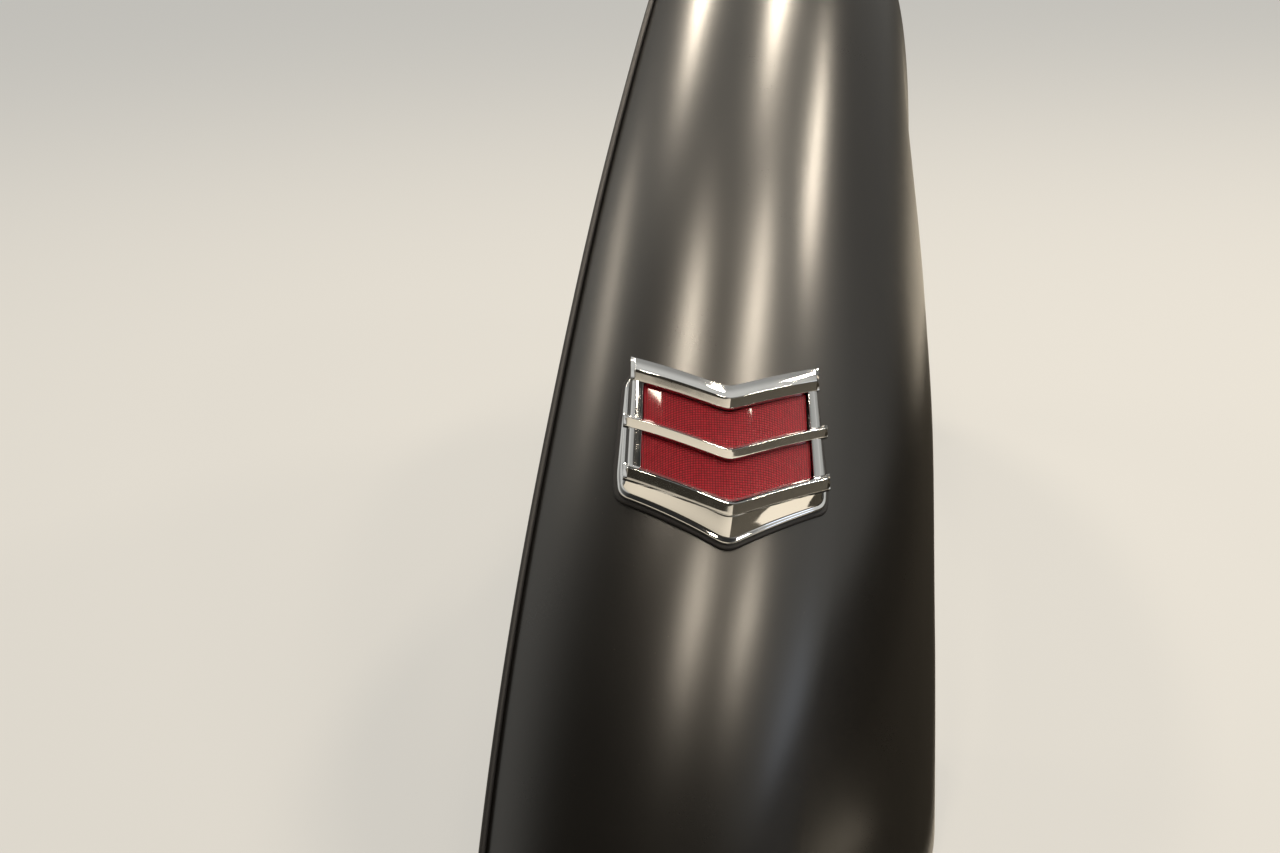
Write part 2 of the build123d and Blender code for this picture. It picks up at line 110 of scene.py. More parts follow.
# Where the lamp sits, as in the solid: hoop angle, distance out and roll
LAMP_HOOP = 163.4
LAMP_OUT = 138.4
LAMP_ROLL = 9.5
LAMP_ARC = 240.0

# Right half of the lamp's outlines in mm, from the top middle to the bottom middle
# columns: sideways, upward
RIM_OUTLINE = [
    (0.0, 52.5), (62.0, 74.5), (69.5, 65.0), (75.5, -8.0), (74.5, -24.5), (0.0, -65.5),
]
WALL_OUTLINE = [
    (0.0, 52.0), (61.5, 73.5), (68.0, 64.5), (72.5, -10.0), (71.5, -22.5), (0.0, -62.0),
]
FACE_OUTLINE = [
    (0.0, 51.5), (61.0, 72.5), (66.5, 64.0), (69.8, -7.0), (69.0, -16.5), (0.0, -50.0),
]
WINDOW_OUTLINE = [
    (0.0, 35.0), (59.0, 57.8), (59.5, 56.5), (61.3, -10.5), (61.0, -12.1), (0.0, -39.5),
]
# How far each outline's corners are rounded back, from top middle to bottom middle
OUTLINE_CUTS = [9.0, 2.5, 4.0, 5.0, 7.0, 9.0]

# Ridged bars: ridge height at the middle and at the ends, distance of the ends,
# width of the slope above the ridge and of the slope below it
BARS = [
    (38.2, 62.5, 65.5, 11.8, 5.2),
    (-2.3, 25.2, 70.5, 4.4, 4.2),
    (-43.4, -14.0, 70.5, 5.4, 5.8),
]
# The bars' step over the face, depth of their roots, rounding of their corner,
# length of their slanted tips and what rises at the tips' ends
BAR_STEP = 0.4
BAR_ROOT = 3.0
BAR_BEND = 4.4
BAR_TIP = 2.6
BAR_TIP_RISE = 0.8
# Places along a bar between its tips, and those round each tip's start as shares of it
BAR_PLACES = 161
TIP_PLACES = [-0.16, -0.07, 0.0, 0.07, 0.16, 0.5, 1.0]

# Lens panes, whose long edges lie under the bars
# columns: middle top, middle bottom, side top, side bottom, half width
PANES = [
    (35.0, -0.5, 57.8, 26.5, 59.5),
    (-3.5, -39.5, 20.0, -11.8, 61.3),
]
# Their gap to the window, bevel, depth, rounding of the chevron's corner and grid
PANE_GAP = 0.9
PANE_BEVEL = 0.8
PANE_DEPTH = 4.0
PANE_BEND = 3.0
PANE_GRID = (90, 24)
# The rows of prisms are level as far as this from the middle, and bend beyond it
PRISM_LEVEL = 20.0
PRISM_BEND = 0.011

# Camera of the photograph: place from the wheel axis in mm, turns in degrees,
# focal length as a share of the picture's width
CAMERA_FROM_HUB = (380.2, -1872.1, 644.1)
CAMERA_YAW = 13.9
CAMERA_PITCH = 18.7
CAMERA_ROLL = -1.7
CAMERA_FOCUS = 1880.0 / 1280.0

# The stage from here on is in metres
# Floor: half its length, and how much of what the camera sees of it is a plain glow
FLOOR_REACH = 15.0
FLOOR_GLOW = 0.75
# Side towards which the mirrored room is dark: behind the camera and above it
DARK_SIDE = (0.05, -0.78, 0.62)

# Strips of lamps under the ceiling, running front to back
# columns: name, sideways, front to back, length, watts
CEILING = 2.7
LAMP_WIDTH = 0.2
CEILING_LAMPS = [
    ("lamp_far_left", -2.3, 0.1, 1.2, 14.0),
    ("lamp_left_front", -0.95, 1.25, 1.0, 46.0),
    ("lamp_left", 0.0, -0.89, 0.82, 20.0),
    ("lamp_middle_front", 0.8, 1.4, 1.2, 56.0),
    ("lamp_middle", 1.36, -0.4, 1.0, 30.0),
    ("lamp_middle_rear", 1.05, -2.1, 0.9, 24.0),
    ("lamp_right_front", 2.6, 1.6, 1.2, 60.0),
    ("lamp_right_rear", 2.7, -1.8, 0.9, 34.0),
]
# Upright blue panel on the right: place, height and width, watts
DAYLIGHT_PLACE = (3.3, -0.9, 0.7)
DAYLIGHT_SIZE = (0.9, 1.3)
DAYLIGHT_POWER = 6.0
# Dark cards for the chrome and the paint to mirror: painted shade that only reflections see
# columns: name, start and end of the foot, height, lean, colour
CARDS = [
    ("flag_right", (0.54, -1.13), (0.806, -0.4), 0.3, 0.0, "#6a6864"),
    ("flag_side", (0.806, -0.4), (1.07, 1.6), 0.3, 0.0, "#35332f"),
    ("flag_floor", (0.29, -0.4), (0.29, 1.3), 0.01, 0.78, "#3a3834"),
    ("flag_near", (0.29, -0.9), (0.29, -0.4), 0.003, 0.2, "#3a3834"),
    ("flag_back", (-2.2, -2.75), (1.6, -2.75), 1.4, 0.0, "#3c3b38"),
]


def linear(hex_colour):
    """sRGB hex to linear red, green and blue, by the standard's two-part curve."""
    parts = [int(hex_colour[i : i + 2], 16) / 255 for i in (1, 3, 5)]
    return [c / 12.92 if c <= 0.04045 else ((c + 0.055) / 1.055) ** 2.4 for c in parts]


def length(name, about, metres):
    """Length that the sidebar shows."""
    return FloatProperty(name=name, description=about, default=metres, unit="LENGTH")


def tint(name, about, hex_colour):
    """Colour that the sidebar shows."""
    shade = linear(hex_colour)
    return FloatVectorProperty(name=name, description=about, default=shade, subtype="COLOR")


class FenderSizes(bpy.types.PropertyGroup):
    """Sizes of the painted sheet and of the bead along its seam."""

    sheet: length("Sheet", "Thickness of the steel", 0.002)
    flange: length("Flange", "Width of the bolting flange", 0.024)
    lip: length("Lip", "Width of the lip round the arch", 0.018)
    welt: length("Welt", "Radius of the bead in the seam", 0.0024)


class LampSizes(bpy.types.PropertyGroup):
    """Sizes of the tail lamp's layers."""

    pad: length("Pad", "Thickness of the rubber pad", 0.0032)
    pad_margin: length("Pad margin", "How far the pad stands out", 0.0025)
    rim: length("Rim", "Height of the bezel's rim over the skin", 0.0066)
    face: length("Face", "Height of the bezel's face", 0.0176)
    ridge: length("Ridge", "Rise of the bars' ridges", 0.0055)
    lens: length("Lens", "Height of the lens panes", 0.0138)
    prism: length("Prism pitch", "Spacing of the lens prisms", 0.0019)


class FinishColours(bpy.types.PropertyGroup):
    """Colours of the finishes."""

    paint: tint("Paint", "Satin black enamel", "#100f0e")
    inside: tint("Inside", "Primer and undercoat", "#1c1b1a")
    rubber: tint("Rubber", "Black moulded rubber", "#17171a")
    chrome: tint("Chrome", "Bright chromium plate", "#e2e4e6")
    lens: tint("Lens", "Red acrylic", "#a80c24")
    zinc: tint("Zinc", "Plated steel", "#b9bcc0")
    brass: tint("Brass", "Bulb base", "#c9a35a")
    floor: tint("Floor", "Plain pale floor", "#d6d4ce")


def natural_spline(column):
    """Natural cubic spline through a column of HOOPS, as a function of arrays.

    Second derivatives m solve h[i-1] m[i-1] + 2 (h[i-1] + h[i]) m[i] + h[i] m[i+1]
    = 6 (slope[i] - slope[i-1]) with m = 0 at both ends.
    """
    x, y = HOOPS[:, 0], HOOPS[:, column]
    h = np.diff(x)
    slope = np.diff(y) / h
    inner = np.diag(2 * (h[:-1] + h[1:])) + np.diag(h[1:-1], 1) + np.diag(h[1:-1], -1)
    m = np.zeros(len(x))
    m[1:-1] = np.linalg.solve(inner, 6 * np.diff(slope))

    def value(angle):
        i = np.clip(np.searchsorted(x, angle) - 1, 0, len(h) - 1)
        before, after, step = angle - x[i], x[i + 1] - angle, h[i]
        cubic = (m[i + 1] * before**3 + m[i] * after**3) / (6 * step)
        low = (y[i] / step - m[i] * step / 6) * after
        high = (y[i + 1] / step - m[i + 1] * step / 6) * before
        return cubic + low + high

    return value


crown_radius = natural_spline(1)
crown_arc = natural_spline(2)
lip_distance = natural_spline(3)


def arch_radius(angle):
    """Ellipse about the axle above it, straight down below it."""
    turned = np.radians(angle)
    along = np.cos(turned) / ARCH_HALF_LENGTH
    up = np.maximum(np.sin(turned), 0.0) / ARCH_HEIGHT
    return 1 / np.hypot(along, up)


def crown_centre(angle):
    """Centre of the crown arc: distance out and distance from the wheel axis."""
    radius = crown_arc(angle)
    return radius * math.sin(math.radians(SEAM_SLOPE)), crown_radius(angle) - radius


def bend_centre(angle):
    """Centre of the bend between flange and crown, which touches both from inside."""
    radius = crown_arc(angle)
    out, up = crown_centre(angle)
    reach = radius - FLANGE_BEND
    return FLANGE_BEND + 0 * out, up + np.sqrt(reach**2 - (out - FLANGE_BEND) ** 2)


HUB_Y = float(bend_centre(np.array(180.0))[1] - bend_centre(np.array(0.0))[1]) / 2


def to_row(out, reach, angle):
    """Distance out and from the axle at a hoop angle, as row coordinates in mm."""
    turned = np.radians(angle)
    y = HUB_Y + reach * np.cos(turned)
    return np.stack(np.broadcast_arrays(out, y, reach * np.sin(turned)), axis=-1)


def sheet_section(angle, run, share, depth, flange, lip):
    """Distance out and from the axle of the sheet, at a share of one of its runs.

    The runs are flange, bend, crown arc, side arc, lip bend and lip. An arc's point is
    its centre plus (radius - depth) times (sin, cos) of start + share (end - start).
    The side arc leaves the crown at SHOULDER_SLOPE and ends on the arch: its chord has
    slope c and length l, so its radius is l / (2 sin(c - slope)) and it ends at 2c - slope.
    """
    radius = crown_arc(angle)
    out, up = crown_centre(angle)
    bend_out, bend_up = bend_centre(angle)
    leave = -np.degrees(np.arcsin((out - FLANGE_BEND) / (radius - FLANGE_BEND)))
    shoulder = math.radians(SHOULDER_SLOPE)
    shoulder_out = out + radius * math.sin(shoulder)
    shoulder_up = up + radius * math.cos(shoulder)
    drop = shoulder_up - arch_radius(angle)
    across = lip_distance(angle) - shoulder_out
    chord = np.degrees(np.arctan2(drop, across))
    side = np.hypot(drop, across) / (2 * np.sin(np.radians(chord - SHOULDER_SLOPE)))
    side_end = 2 * chord - SHOULDER_SLOPE
    side_out = shoulder_out - side * math.sin(shoulder)
    side_up = shoulder_up - side * math.cos(shoulder)
    end = np.radians(side_end)
    lip_out = side_out + (side - LIP_BEND) * np.sin(end)
    lip_up = side_up + (side - LIP_BEND) * np.cos(end)

    flat = 0 * angle
    centre_out = np.choose(run, [bend_out, bend_out, out, side_out, lip_out, lip_out])
    centre_up = np.choose(run, [bend_up, bend_up, up, side_up, lip_up, lip_up])
    arc = np.choose(run, [
        flat + FLANGE_BEND, flat + FLANGE_BEND, radius, side, flat + LIP_BEND, flat + LIP_BEND,
    ])
    level, leave_side, down = flat - 90, flat + SHOULDER_SLOPE, flat + 180
    start = np.choose(run, [level, level, leave, leave_side, side_end, down])
    stop = np.choose(run, [level, leave, leave_side, side_end, down, down])
    turned = np.radians(start + share * (stop - start))
    x = centre_out + (arc - depth) * np.sin(turned)
    r = centre_up + (arc - depth) * np.cos(turned)
    r = r - np.where(run == 0, (1 - share) * flange, 0.0)
    x = x - np.where(run == 5, share * lip, 0.0)
    return x, r


def sheet_side(rows, depth, flange, lip):
    """One side of the sheet, trimmed level: every column runs between the two hoop
    angles at which its height, reach times sin(angle), is TRIM_HEIGHT."""
    run = np.concatenate([np.full(n, k) for k, n in enumerate(SHEET_COLUMNS)] + [[5]])
    share = np.concatenate([np.arange(n) / n for n in SHEET_COLUMNS] + [[1.0]])
    front, rear = (np.full(len(run), angle) for angle in TRIM_START)
    for _ in range(12):
        reach = sheet_section(front, run, share, depth, flange, lip)[1]
        front = np.degrees(np.arcsin(TRIM_HEIGHT / reach))
        reach = sheet_section(rear, run, share, depth, flange, lip)[1]
        rear = 180 - np.degrees(np.arcsin(TRIM_HEIGHT / reach))
    along = np.linspace(0, 1, rows)[:, None]
    angle = front + (rear - front) * along
    wide = np.broadcast_to(run, angle.shape)
    x, r = sheet_section(angle, wide, share, depth, flange, lip)
    return to_row(x, r, angle)


def bolt_places():
    """Bolt holes' middles: where the bolt line, BOLT_DEPTH inside the bend, is at each
    height before and behind the axle, found by stepping to arcsin(height / reach)."""
    places = []
    for height in BOLT_HEIGHTS:
        for start, sign in ((0.0, 1.0), (180.0, -1.0)):
            angle = np.array(start)
            for _ in range(25):
                reach = bend_centre(angle)[1] - BOLT_DEPTH
                angle = start + sign * np.degrees(np.arcsin(height / reach))
            places.append(to_row(0.0, bend_centre(angle)[1] - BOLT_DEPTH, angle))
    return places


def unit(vectors):
    """Vectors brought to length 1."""
    return vectors / np.maximum(np.linalg.norm(vectors, axis=-1, keepdims=True), 1e-9)


def skin_point(angle, out):
    """Point of the outer skin on the crown arc."""
    centre_out, centre_up = crown_centre(angle)
    rise = np.sqrt(crown_arc(angle) ** 2 - (out - centre_out) ** 2)
    return to_row(out, centre_up + rise, angle)


def lamp_axes():
    """Place and axes of the lamp: sideways, up the fender, outward."""
    hoop, out, small = np.array(LAMP_HOOP), LAMP_OUT, 0.2
    place = skin_point(hoop, out)
    along = skin_point(hoop - small, out) - skin_point(hoop + small, out)
    across = skin_point(hoop, out + small) - skin_point(hoop, out - small)
    normal = unit(np.cross(across, along))
    level = unit(np.cross((0.0, 0.0, 1.0), normal))
    level = level * np.sign(level[0])
    roll = math.radians(-LAMP_ROLL)
    sideways = level * math.cos(roll) + np.cross(normal, level) * math.sin(roll)
    return place, sideways, np.cross(normal, sideways), normal


LAMP_PLACE, LAMP_SIDE, LAMP_UP, LAMP_NORMAL = lamp_axes()


def from_lamp(side, up, out):
    """Lamp coordinates in mm as row coordinates in mm."""
    parts = [np.asarray(v)[..., None] for v in (side, up, out)]
    return LAMP_PLACE + parts[0] * LAMP_SIDE + parts[1] * LAMP_UP + parts[2] * LAMP_NORMAL


def skin_height(side, up):
    """Height of the skin over the lamp's plane, found by halving: a point is outside
    where its distance from the crown arc's centre line is over the arc's radius."""
    low, high = np.full(side.shape, -60.0), np.full(side.shape, 30.0)
    for _ in range(26):
        middle = (low + high) / 2
        point = from_lamp(side, up, middle)
        angle = np.degrees(np.arctan2(point[..., 2], point[..., 1] - HUB_Y))
        reach = np.hypot(point[..., 2], point[..., 1] - HUB_Y)
        out, centre = crown_centre(angle)
        outside = np.hypot(point[..., 0] - out, reach - centre) > crown_arc(angle)
        high = np.where(outside, middle, high)
        low = np.where(outside, low, middle)
    return low


def drum_height(side, height):
    """Height of a bowed layer: a circle about an upright axis, its radius LAMP_ARC
    plus the layer's height."""
    return np.sqrt((LAMP_ARC + height) ** 2 - side**2) - LAMP_ARC


def fillet(points, cuts, curve, run):
    """Closed chain of control rows with rounded corners: shape (corners, columns, d).

    Each corner V becomes (1-s)^2 A + 2s(1-s) V + s^2 B, with A and B the points a cut
    away towards its neighbours, and each stretch between corners gets run points.
    """
    cuts = np.asarray(cuts, float)[:, None, None]
    back = np.roll(points, 1, axis=0) - points
    ahead = np.roll(points, -1, axis=0) - points
    reach = [0.45 * np.linalg.norm(v, axis=-1, keepdims=True) for v in (back, ahead)]
    first = points + unit(back) * np.minimum(cuts, reach[0])
    last = points + unit(ahead) * np.minimum(cuts, reach[1])
    s = np.linspace(0, 1, curve)[:, None, None, None]
    bends = (1 - s) ** 2 * first + 2 * s * (1 - s) * points + s**2 * last
    t = np.linspace(0, 1, run + 2)[1:-1][:, None, None, None]
    runs = last + t * (np.roll(first, -1, axis=0) - last)
    both = np.concatenate([bends, runs]).swapaxes(0, 1)
    return both.reshape(-1, *points.shape[1:])


def open_fillet(points, cuts, curve, run):
    """The same for an open chain, whose two ends stay where they are."""
    cuts = [0.0, *cuts[1:-1], 0.0]
    closed = fillet(points, cuts, curve, run)
    return closed[curve - 1 : len(closed) - run - (curve - 1)]


def grid_faces(rows, columns, close_rows=False, close_columns=False):
    """Quads of a grid of points, by index, as an array."""
    i = np.arange(rows if close_rows else rows - 1)[:, None]
    j = np.arange(columns if close_columns else columns - 1)[None, :]
    i2, j2 = (i + 1) % rows, (j + 1) % columns
    corners = [i * columns + j, i2 * columns + j, i2 * columns + j2, i * columns + j2]
    return np.stack(np.broadcast_arrays(*corners), axis=-1).reshape(-1, 4)


def add_piece(name, points, faces, material, nodes=(), sharp=35.0, uv=None):
    """Mesh piece from points in mm, faces outward, that rides on the body."""
    mesh = bpy.data.meshes.new(name)
    vertices = np.asarray(points, float).reshape(-1, 3) * MM
    mesh.from_pydata(vertices.tolist(), [], [list(map(int, face)) for face in faces])
    mesh.validate()
    if signed_volume(mesh) < 0:
        mesh.flip_normals()
    mesh.shade_smooth()
    mesh.set_sharp_from_angle(angle=math.radians(sharp))
    if uv is not None:
        layer = mesh.uv_layers.new(name="pattern")
        corners = np.empty(len(mesh.loops), int)
        mesh.loops.foreach_get("vertex_index", corners)
        layer.data.foreach_set("uv", np.asarray(uv, float).reshape(-1, 2)[corners].ravel())
    mesh.materials.append(material)
    piece = bpy.data.objects.new(name, mesh)
    bpy.context.scene.collection.objects.link(piece)
    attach(piece, BODY)
    if nodes:
        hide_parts(*nodes)
    return piece


def signed_volume(mesh):
    """Sum over triangles of the corner products a . (b x c) / 6."""
    mesh.calc_loop_triangles()
    corners = np.empty(len(mesh.loop_triangles) * 3, int)
    mesh.loop_triangles.foreach_get("vertices", corners)
    spots = np.empty(len(mesh.vertices) * 3)
    mesh.vertices.foreach_get("co", spots)
    a, b, c = spots.reshape(-1, 3)[corners].reshape(-1, 3, 3).swapaxes(0, 1)
    return float(np.einsum("ij,ij->i", a, np.cross(b, c)).sum() / 6)


def new_material(name):
    """Empty node material, and its tree."""
    material = bpy.data.materials.new(name)
    material.use_nodes = True
    material.node_tree.nodes.clear()
    return material, material.node_tree


def add_node(tree, kind, inputs=None, **settings):
    """Node with its settings, and its inputs set to values or linked to sockets."""
    node = tree.nodes.new(kind)
    for key, value in settings.items():
        setattr(node, key, value)
    for key, value in (inputs or {}).items():
        if isinstance(value, bpy.types.NodeSocket):
            tree.links.new(value, node.inputs[key])
        else:
            node.inputs[key].default_value = value
    return node


def finish(tree, shader):
    """Joins a shader's socket to the material's output."""
    add_node(tree, "ShaderNodeOutputMaterial", {"Surface": shader})


def principled(tree, inputs):
    """Joins a principled surface to the material's output."""
    finish(tree, add_node(tree, "ShaderNodeBsdfPrincipled", inputs).outputs[0])


def object_place(tree):
    """Place on the piece in metres, so that a pattern's scale is in cells per metre."""
    return add_node(tree, "ShaderNodeTexCoord").outputs["Object"]


def noise(tree, place, scale, detail):
    """Noise from 0 to 1, its scale in cells per metre."""
    inputs = {"Vector": place, "Scale": scale, "Detail": detail}
    return add_node(tree, "ShaderNodeTexNoise", inputs).outputs["Fac"]


def mapped(tree, value, start, end, smooth=False):
    """Value carried from the limits in start to those in end, and held between them."""
    inputs = {"Value": value, "From Min": start[0], "From Max": start[1]}
    inputs.update({"To Min": end[0], "To Max": end[1]})
    kind = "SMOOTHSTEP" if smooth else "LINEAR"
    return add_node(tree, "ShaderNodeMapRange", inputs, interpolation_type=kind).outputs["Result"]


def reckoned(tree, operation, first, second, **settings):
    """Sum, product or other result of two values."""
    inputs = {0: first, 1: second}
    return add_node(tree, "ShaderNodeMath", inputs, operation=operation, **settings).outputs[0]


def vector_result(tree, operation, *vectors):
    """Difference, fraction or other result of vectors."""
    inputs = dict(enumerate(vectors))
    return add_node(tree, "ShaderNodeVectorMath", inputs, operation=operation).outputs[0]


def blended(tree, share, first, second):
    """Colour at a share of the way from one to another."""
    inputs = {"Factor": share, "A": (*first, 1), "B": (*second, 1)}
    return add_node(tree, "ShaderNodeMix", inputs, data_type="RGBA").outputs["Result"]


def raised(tree, height, strength, distance, **settings):
    """Normal of a surface raised by a height pattern, its distance in metres."""
    inputs = {"Height": height, "Strength": strength, "Distance": distance}
    return add_node(tree, "ShaderNodeBump", inputs, **settings).outputs["Normal"]


def satin_paint(name, colour, rough):
    """Satin enamel sprayed on steel: a soft, wide highlight over near black, with a
    faint orange peel about 2.5 mm across, a roughness that clouds a little and is
    grainy like dried spray, and specks of settled dust under 1 mm across."""
    material, tree = new_material(name)
    place = object_place(tree)
    cloud = noise(tree, place, 9.0, 3.0)
    wide = mapped(tree, cloud, (0.3, 0.7), (rough - 0.012, rough + 0.012))
    grain = mapped(tree, noise(tree, place, 900.0, 2.0), (0.0, 1.0), (-0.02, 0.02))
    specks = add_node(tree, "ShaderNodeTexVoronoi", {"Vector": place, "Scale": 90.0})
    dust = mapped(tree, specks.outputs["Distance"], (0.03, 0.06), (0.16, 0.0))
    settled = reckoned(tree, "MULTIPLY", dust, reckoned(tree, "GREATER_THAN", cloud, 0.5))
    principled(tree, {
        "Base Color": blended(tree, settled, colour, linear("#6e675c")),
        "Roughness": reckoned(tree, "ADD", wide, grain),
        "IOR": 1.7,
        "Normal": raised(tree, noise(tree, place, 400.0, 2.0), 0.04, 0.0005),
    })
    return material


def undercoat(name, colour):
    """Sprayed undercoat inside the fender: matt and dirty, with droplets about 4 mm across."""
    material, tree = new_material(name)
    place = object_place(tree)
    dirt = noise(tree, place, 14.0, 5.0)
    principled(tree, {
        "Base Color": blended(tree, dirt, colour, [1.9 * c for c in colour]),
        "Roughness": 0.8,
        "IOR": 1.45,
        "Normal": raised(tree, noise(tree, place, 260.0, 3.0), 0.5, 0.0012),
    })
    return material


def moulded_rubber(name, colour):
    """Moulded black rubber: matt, faintly mottled."""
    material, tree = new_material(name)
    mottle = noise(tree, object_place(tree), 600.0, 2.0)
    rough = mapped(tree, mottle, (0.0, 1.0), (0.5, 0.68))
    principled(tree, {"Base Color": (*colour, 1), "Roughness": rough, "IOR": 1.52})
    return material


def bright_metal(name, colour, pattern, start, end):
    """Metal whose roughness follows noise: pattern holds its scale and detail, start the
    noise's limits and end the roughness there."""
    material, tree = new_material(name)
    grain = noise(tree, object_place(tree), *pattern)
    rough = mapped(tree, grain, start, end)
    principled(tree, {"Base Color": (*colour, 1), "Metallic": 1.0, "Roughness": rough})
    return material


def chrome_plate(name, colour):
    """Chromium over polished die casting: mirror bright, with a trace of polishing haze."""
    return bright_metal(name, colour, (120.0, 3.0), (0.35, 0.7), (0.035, 0.085))


def sheet_metal(name, colour, rough):
    """Plated or plain sheet metal: a grainy satin sheen."""
    return bright_metal(name, colour, (300.0, 4.0), (0.0, 1.0), (rough - 0.08, rough + 0.08))


def red_acrylic(name, colour):
    """Moulded red acrylic: a smooth glossy front over rows of small square prisms on its back.
    The front is the coat, the prisms the base and a bump, with light painted into the base
    colour: each prism is painted brightest in its middle, painted shade darkens the furrows
    between the rows, and a random painted glint makes the prisms brighter or darker one by one."""
    material, tree = new_material(name)
    cells = add_node(tree, "ShaderNodeUVMap", uv_map="pattern").outputs["UV"]
    part = vector_result(tree, "FRACTION", cells)
    away = vector_result(tree, "ABSOLUTE", vector_result(tree, "SUBTRACT", part, (0.5, 0.5, 0.0)))
    split = add_node(tree, "ShaderNodeSeparateXYZ", {0: away})
    across = mapped(tree, split.outputs[0], (0.24, 0.5), (0.0, 0.85), smooth=True)
    along = mapped(tree, split.outputs[1], (0.24, 0.5), (0.0, 1.0), smooth=True)
    furrow_and_shade = reckoned(tree, "MAXIMUM", across, along)
    number = {"Vector": vector_result(tree, "FLOOR", cells)}
    chance = add_node(tree, "ShaderNodeTexWhiteNoise", number, noise_dimensions="2D")
    painted_glint = reckoned(tree, "MULTIPLY", chance.outputs["Value"], 0.22)
    # the base colour's mix factor, depth, is painted shade in the furrows between the prisms plus
    # a random painted glint for each prism
    depth = reckoned(tree, "ADD", furrow_and_shade, painted_glint, use_clamp=True)
    principled(tree, {
        "Base Color": blended(tree, depth, colour, [0.16 * c for c in colour]),
        "Roughness": 0.42,
        "IOR": 1.49,
        "Specular IOR Level": 0.2,
        "Coat Weight": 1.0,
        "Coat Roughness": 0.03,
        "Coat IOR": 1.49,
        "Normal": raised(tree, furrow_and_shade, 0.5, 0.0006, invert=True),
    })
    return material


def clear_glass(name):
    """Blown bulb glass: clear, thin and smooth."""
    material, tree = new_material(name)
    white = (1.0, 1.0, 1.0, 1.0)
    inputs = {"Base Color": white, "Roughness": 0.02, "IOR": 1.5, "Transmission Weight": 1.0}
    principled(tree, inputs)
    return material


def dress(material, *nodes):
    """Gives carried-over solids a material."""
    for name in nodes:
        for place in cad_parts[name].material_slots:
            place.material = material


def closed_outline(half):
    """All corners of an outline from its right half and the mirror image."""
    right = np.array(half)
    return np.concatenate([right, right[-2:0:-1] * (-1, 1)])


def all_corners(values):
    """A value for every corner from the values of the right half."""
    return [*values, *values[-2:0:-1]]


class FENDER_OT_shell(bpy.types.Operator):
    """Build the painted sheet of the fender."""

    bl_idname = "fender.shell"
    bl_label = "Fender shell"

    def execute(self, context):
        sizes, colours = context.scene.fender_sizes, context.scene.finish_colours
        flange, lip, sheet = sizes.flange / MM, sizes.lip / MM, sizes.sheet / MM
        outer = sheet_side(SHEET_ROWS, 0.0, flange, lip)
        inner = sheet_side(SHEET_ROWS, sheet, flange, lip)
        rows, columns = outer.shape[:2]
        points = np.concatenate([outer, inner[:, ::-1]], axis=1)
        cells = grid_faces(rows, 2 * columns, close_columns=True)
        cells = cells.reshape(rows - 1, 2 * columns, 4)
        kept = np.ones(cells.shape[:2], bool)
        rims, patches = [], []
        count = rows * 2 * columns
        for place in bolt_places():
            rim, patch, block = self.bolt_hole(outer, inner, place, count)
            first, last = PATCH_COLUMNS
            kept[block, first:last] = False
            kept[block, 2 * columns - 1 - last : 2 * columns - 1 - first] = False
            rims.append(rim)
            patches.append(patch)
            count += len(rim)
        points = np.concatenate([points.reshape(-1, 3), *rims])
        ends = []
        j = np.arange(columns - 1)
        for row in (0, rows - 1):
            at = row * 2 * columns
            strip = [at + j, at + j + 1, at + 2 * columns - 2 - j, at + 2 * columns - 1 - j]
            strip = np.stack(strip, axis=-1)
            ends.append(strip if row == 0 else strip[:, ::-1])
        faces = np.concatenate([cells[kept], *patches, *ends])
        paint = satin_paint("satin_black_enamel", colours.paint, 0.29)
        nodes = ["fender_skin"]
        shell = add_piece("fender_shell", points, faces, paint, nodes)
        shell.data.materials.append(undercoat("undercoat", colours.inside))
        within = [np.tile(np.arange(2 * columns) >= columns, rows)]
        within += [np.arange(len(rim)) >= len(rim) // 2 for rim in rims]
        inside = np.concatenate(within)[faces].all(axis=1)
        shell.data.polygons.foreach_set("material_index", inside.astype(np.int32))
        return {"FINISHED"}

    def bolt_hole(self, outer, inner, place, count):
        """Hole through the flange: a block of the grid's cells is left out, and quads
        join its border on both sides to a circle's points at the same bearings."""
        first, last = PATCH_COLUMNS
        columns = outer.shape[1]
        line = outer[:, (first + last) // 2]
        near = int(np.argmin(np.linalg.norm(line - place, axis=1)))
        pitch = np.linalg.norm(line[near + 1] - line[near])
        wide = math.ceil(1.3 * BOLT_HOLE_RADIUS / pitch + 0.5)
        low, high = near - wide, near + wide
        loop = [(i, first) for i in range(low, high)]
        loop += [(high, j) for j in range(first, last)]
        loop += [(i, last) for i in range(high, low, -1)]
        loop += [(low, j) for j in range(last, first, -1)]
        i, j = np.array(loop).T
        bearing = unit((outer[i, j] - place) * (0.0, 1.0, 1.0))
        rim = place + BOLT_HOLE_RADIUS * bearing
        thick = (inner[near, first, 0] - outer[near, first, 0]) * np.array((1.0, 0.0, 0.0))
        ahead = np.roll(np.arange(len(loop)), -1)
        near_edge = i * 2 * columns + j
        far_edge = i * 2 * columns + 2 * columns - 1 - j
        near_rim = count + np.arange(len(loop))
        far_rim = near_rim + len(loop)
        patch = [
            (near_edge, near_edge[ahead], near_rim[ahead], near_rim),
            (far_edge[ahead], far_edge, far_rim, far_rim[ahead]),
            (near_rim, near_rim[ahead], far_rim[ahead], far_rim),
        ]
        patch = np.concatenate([np.stack(quads, axis=1) for quads in patch])
        return np.concatenate([rim, rim + thick]), patch, slice(low, high)


